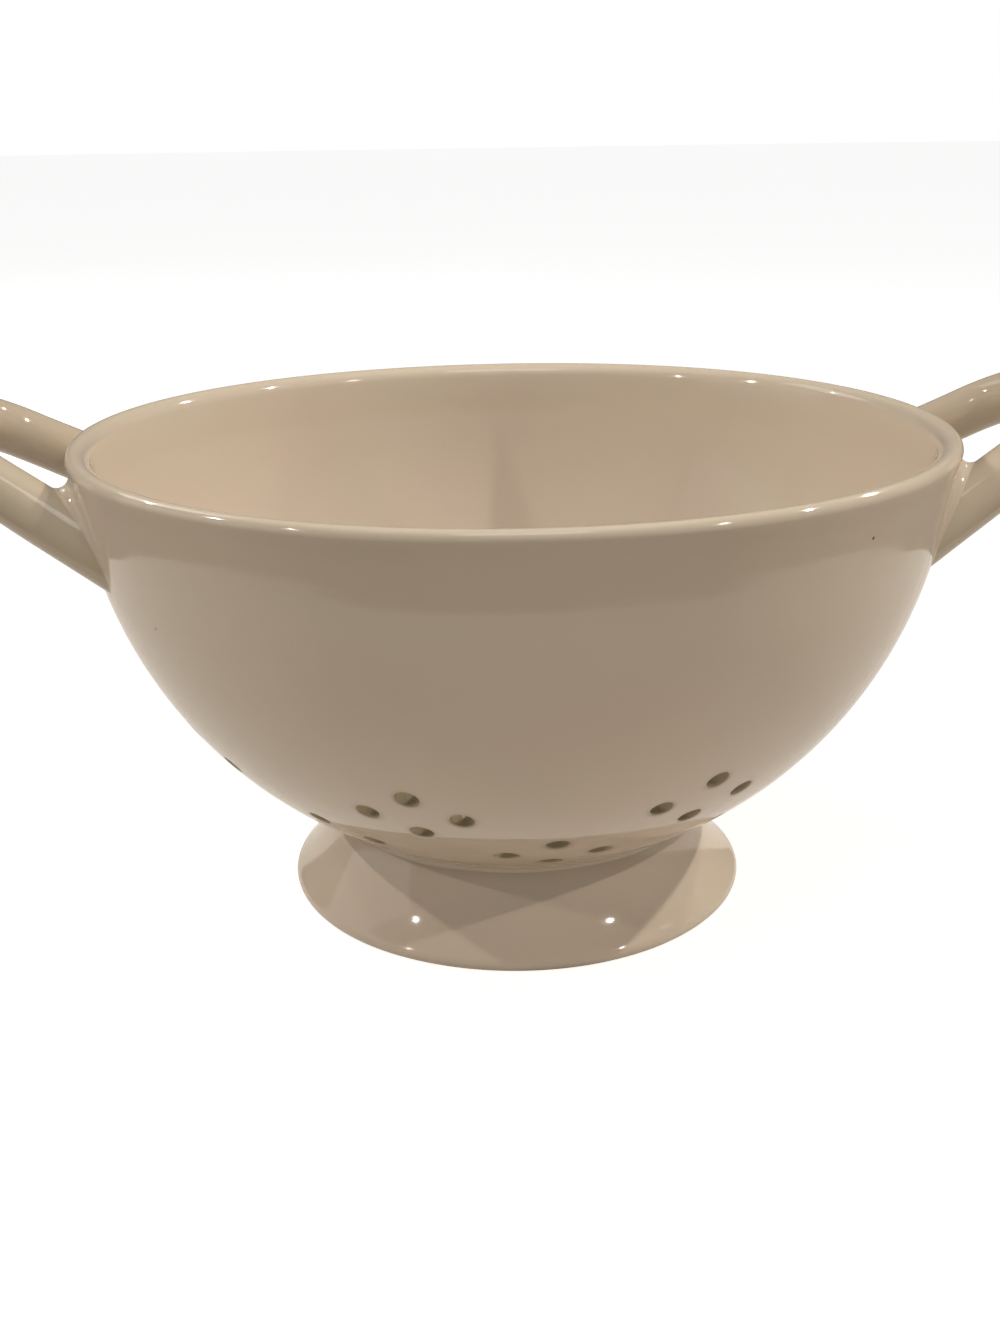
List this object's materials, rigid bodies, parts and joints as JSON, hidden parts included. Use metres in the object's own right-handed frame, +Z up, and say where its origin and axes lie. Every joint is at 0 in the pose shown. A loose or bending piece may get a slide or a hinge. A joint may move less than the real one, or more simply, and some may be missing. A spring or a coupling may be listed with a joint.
{
  "type": "ceramic colander",
  "caption": "Glazed stoneware colander: a round bowl pierced with clusters of drain holes, on a flared hollow foot, with a loop handle on each side.",
  "frame": {"origin": "centre of the foot's ring on the table, at the bottom of the part", "axes": "+Z up through the bowl's mouth, X along the two handles, -Y towards the viewer of the picture"},
  "size_m": [0.348, 0.256, 0.1557],
  "materials": {
    "bowl_glaze": "glossy warm cream glaze over stoneware",
    "foot_glaze": "glossy warm cream glaze, wiped bare where the foot stands",
    "handle_glaze": "glossy warm cream glaze over stoneware",
    "slip_glaze": "the same glaze, pooled a little thicker in the joint"
  },
  "bodies": {
    "root": {"bowl": "bowl_glaze", "foot": "foot_glaze", "left_handle": "handle_glaze", "right_handle": "handle_glaze", "foot_slip_outer": "slip_glaze", "foot_slip_inner": "slip_glaze", "left_front_slip": "slip_glaze", "left_back_slip": "slip_glaze", "right_front_slip": "slip_glaze", "right_back_slip": "slip_glaze"}
  },
  "joints": []
}
